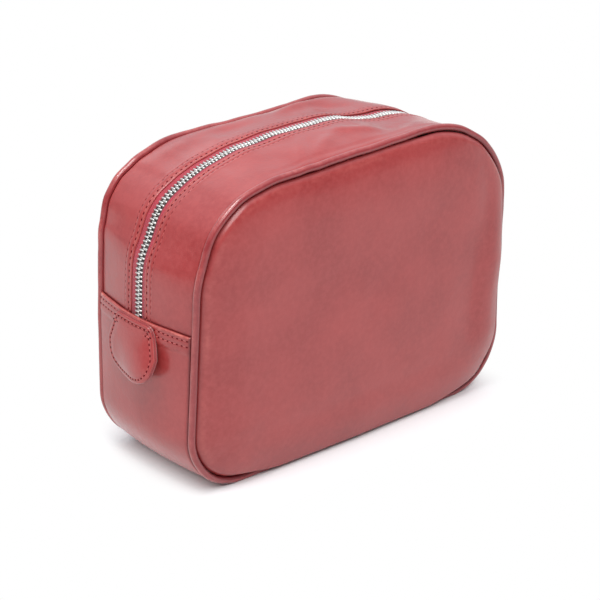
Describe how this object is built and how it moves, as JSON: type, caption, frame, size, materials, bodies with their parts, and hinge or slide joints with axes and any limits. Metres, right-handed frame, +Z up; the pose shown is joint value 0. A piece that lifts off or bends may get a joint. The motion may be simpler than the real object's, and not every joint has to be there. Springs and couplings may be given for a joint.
{
  "type": "cosmetic bag",
  "caption": "Zipped leather wash bag with piped front and back panels, a wide zipped gusset, hemmed ends and a leather grip tab.",
  "frame": {"origin": "centre of the base, on the surface that the bag stands on", "axes": "+X along the bag towards the closed end of the zip, +Y from the front panel to the back panel, +Z up"},
  "size_m": [0.2476, 0.1112, 0.182],
  "materials": {
    "leather": "smooth waxed, semi-gloss",
    "piping_leather": "smooth waxed, semi-gloss",
    "lining": "plain-woven cotton",
    "zip_tape": "woven tape",
    "zip_metal": "bright nickel plate",
    "cord": "twisted cotton cord",
    "board": "grey board"
  },
  "bodies": {
    "bag": {"base_gusset": "leather", "base_board": "board", "gusset_lining": "lining", "front_panel_lower": "leather", "back_panel_lower": "leather", "front_lining_lower": "lining", "back_lining_lower": "lining", "front_piping_lower": "piping_leather", "back_piping_lower": "piping_leather", "front_piping_cord_lower": "cord", "back_piping_cord_lower": "cord", "tab_root": "leather"},
    "front_flap": {"front_panel_upper": "leather", "front_lining_upper": "lining", "front_piping_upper": "piping_leather", "front_piping_cord_upper": "cord", "front_zip_strip": "leather", "front_strip_lining": "lining", "front_zip_tape": "zip_tape", "front_teeth": "zip_metal"},
    "back_flap": {"back_panel_upper": "leather", "back_lining_upper": "lining", "back_piping_upper": "piping_leather", "back_piping_cord_upper": "cord", "back_zip_strip": "leather", "back_strip_lining": "lining", "back_zip_tape": "zip_tape", "back_teeth": "zip_metal"},
    "slider": {"slider_body": "zip_metal"},
    "puller": {"puller": "zip_metal"},
    "tab": {"tab_tongue": "leather", "tab_backing": "piping_leather"}
  },
  "joints": [
    {"name": "front_mouth", "type": "hinge", "parent": "bag", "child": "front_flap", "pos_m": [0, -0.056, 0.10015], "axis": [1, 0, 0], "range_deg": [0, 25], "deforming": ["front_zip_tape", "front_teeth"]},
    {"name": "back_mouth", "type": "hinge", "parent": "bag", "child": "back_flap", "pos_m": [0, 0.056, 0.10015], "axis": [-1, 0, 0], "range_deg": [0, 25], "deforming": ["back_zip_tape", "back_teeth"]},
    {"name": "zip_travel", "type": "hinge", "parent": "bag", "child": "slider", "pos_m": [0.061, 0, 0.122], "axis": [0, 1, 0], "range_deg": [-90, 0]},
    {"name": "puller_swing", "type": "hinge", "parent": "slider", "child": "puller", "pos_m": [0.12195, 0, 0.11967], "axis": [0, -1, 0], "range_deg": [0, 140]},
    {"name": "tab_lift", "type": "hinge", "parent": "bag", "child": "tab", "pos_m": [-0.1237, 0.006, 0.0937], "axis": [0, 1, 0], "range_deg": [0, 110]}
  ]
}
